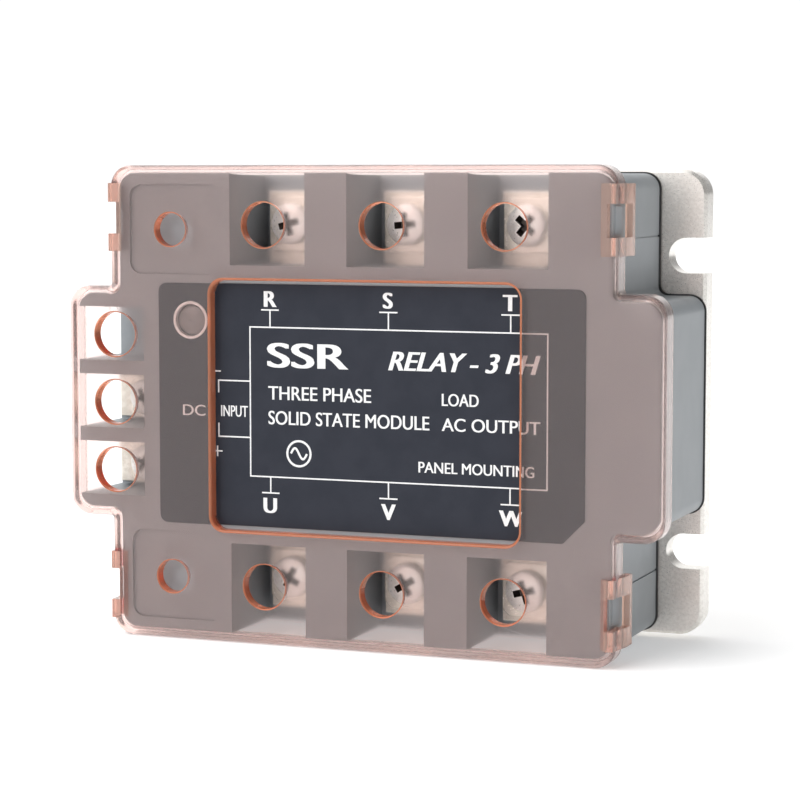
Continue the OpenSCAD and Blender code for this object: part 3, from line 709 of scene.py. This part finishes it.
def labelPrint():
    p = printing
    draft = bmesh.new()
    for entry in words:
        printedText(draft, *entry)
    for text, x, y, height in letters:
        printedText(draft, text, x, y, height, bold=p["letterBold"], centred=True)
    # frame
    half = p["line"] / 2
    (x0, x1), (y0, y1) = p["frameX"], p["frameY"]
    for y in (y0, y1):
        strip(draft, (x0 - half, x1 + half), (y - half, y + half))
    for x in (x0, x1):
        strip(draft, (x - half, x + half), (y0 + half, y1 - half))
    # a tick from the frame to each letter, with a bar at its end
    for x in p["tickX"]:
        for bar, tick in ((p["tickTop"], (y1 + half, p["tickTop"] - half)),
                          (p["tickBottom"], (p["tickBottom"] + half, y0 - half))):
            strip(draft, (x - half, x + half), tick)
            strip(draft, (x - p["tickHalf"], x + p["tickHalf"]), (bar - half, bar + half))
    # input bracket with its signs
    left, (upper, lower), (low, high) = bracket["x"], bracket["y"], bracket["gap"]
    for y in (upper, lower):
        strip(draft, (left, x0 - half), (y - half, y + half))
    strip(draft, (left, left + p["line"]), (high, upper - half))
    strip(draft, (left, left + p["line"]), (lower + half, low))
    for x, y in signs:
        strip(draft, x, y)
    pictogram(draft)
    block = bmesh.ops.extrude_face_region(draft, geom=list(draft.faces))
    for v in block["geom"]:
        if isinstance(v, bmesh.types.BMVert):
            v.co.z += p["thick"]
    bmesh.ops.recalc_face_normals(draft, faces=draft.faces)
    bmesh.ops.translate(draft, verts=draft.verts, vec=(p["shift"], 0, p["z"]))
    data = freeze(draft, "label_print")
    data.transform(upright)
    return place("label_print", data)


def ribbon(draft, points, width):
    # a flat line of even width through points
    sides = []
    for i, (x, y) in enumerate(points):
        ax, ay = points[max(i - 1, 0)]
        bx, by = points[min(i + 1, len(points) - 1)]
        length = math.hypot(bx - ax, by - ay)
        nx, ny = -(by - ay) / length * width / 2, (bx - ax) / length * width / 2
        sides.append((draft.verts.new((x + nx, y + ny, 0)), draft.verts.new((x - nx, y - ny, 0))))
    for (a, b), (c, d) in zip(sides, sides[1:]):
        draft.faces.new((a, b, d, c))


def pictogram(draft, steps=24):
    # a sine wave in a ring
    w = wave
    cx, cy = w["x"], w["y"]
    ring = arc(cx, cy, w["ringR"], 0, 360, 2 * steps)
    for a, b in zip(ring, ring[1:]):
        inner = [((p[0] - cx) * w["ringHole"] + cx, (p[1] - cy) * w["ringHole"] + cy)
                 for p in (a, b)]
        draft.faces.new([draft.verts.new((*p, 0)) for p in (a, b, inner[1], inner[0])])
    ribbon(draft, [(cx - w["half"] + 2 * w["half"] * i / steps,
                    cy + w["height"] * math.sin(2 * math.pi * i / steps))
                   for i in range(steps + 1)], w["width"])


finishPiece(labelPrint(), "relay_body", labelInk, "label_film")
print("label printed")


# parts that stay as the CAD made them

for node, mesh in nodes.items():
    if not mesh.hide_render:
        mesh.data.materials.clear()
        dress(mesh, [looks[slotOf[node]].material])
print("inner parts finished")


# floor, light and camera

studio = dict(floor=(0.94, 0.94, 0.94), floorGrain=0.995, floorSize=6.0, floorGlow=0.34,
              sky=((0.0, 0.55), (0.38, 0.64), (0.56, 1.05), (1.0, 1.25)), rise=(0.25, 0.8),
              skyStrength=1.0, sideShade=0.8, sideFade=(-0.1, 0.25), backdrop=1.05)
suns = (("key", 1.5, 55, (-0.55, -0.7, 0.8)),  # name, strength, spread, direction it comes from
        ("front", 0.42, 40, (-0.15, -1.0, 0.15)),
        ("fill", 0.1, 70, (0.9, -0.5, 0.9)))
lens = dict(length=111.17, location=(0.1439, -0.3836, 0.0358), tilt=84.846, turn=21.207)


def buildFloor():
    draft = bmesh.new()
    bmesh.ops.create_grid(draft, x_segments=8, y_segments=8, size=studio["floorSize"])
    floor = place("floor", freeze(draft, "floor"))
    floor.location.z = cadBox[0].z
    look = Look("paleFloor")
    grain = look.noise(12, 2)
    pale = paint(studio["floor"])
    shade = paint([v * studio["floorGrain"] for v in studio["floor"]])
    look.set(colour=look.blend(grain, shade, pale), roughness=grain * 0.1 + 0.8, specular=0.0,
             emission=pale, glow=studio["floorGlow"])
    dress(floor, [look.material])


def buildSky():
    # bright above and behind the object, softer in front of it, dim on its right
    sky = Look("studio", bpy.data.worlds, "Background")
    bpy.context.scene.world = sky.material
    way = sky.node("ShaderNodeTexCoord")
    split = sky.node("ShaderNodeSeparateXYZ", sockets={0: way}).socket.node
    across, depth, height = (Wire(sky, socket) for socket in split.outputs)
    room = sky.node("ShaderNodeValToRGB",
                    {"stops": [(at, paint([v] * 3)) for at, v in studio["sky"]]},
                    {0: depth * 0.5 + sky.ramp(height, *studio["rise"]) * 0.5 + 0.5})
    right = sky.ramp(across, *studio["sideFade"])
    sky.feed(sky.shader.inputs["Color"], room)
    sky.feed(sky.shader.inputs["Strength"],
             (1 - right * studio["sideShade"]) * studio["skyStrength"])
    # seen directly, the backdrop is plain white
    white = sky.node("ShaderNodeBackground", sockets={
        "Color": paint((1, 1, 1)), "Strength": studio["backdrop"]})
    seen = sky.node("ShaderNodeLightPath")
    both = sky.node("ShaderNodeMixShader",
                    sockets={0: seen, 1: Wire(sky, sky.shader.outputs[0]), 2: white})
    sky.feed(sky.tree.nodes["World Output"].inputs["Surface"], both)


def buildSun(name, strength, spread, source):
    data = bpy.data.lights.new(name, "SUN")
    data.energy, data.angle = strength, math.radians(spread)
    place(name, data).rotation_euler = Vector(source).to_track_quat("Z", "Y").to_euler()


buildFloor()
buildSky()
for sun in suns:
    buildSun(*sun)

camera = place("camera", bpy.data.cameras.new("camera"))
camera.data.lens, camera.data.clip_start = lens["length"], 0.01
camera.location = lens["location"]
camera.rotation_euler = (math.radians(lens["tilt"]), 0, math.radians(lens["turn"]))
bpy.context.scene.camera = camera
bpy.context.scene.view_settings.view_transform = "Standard"
print("studio set")
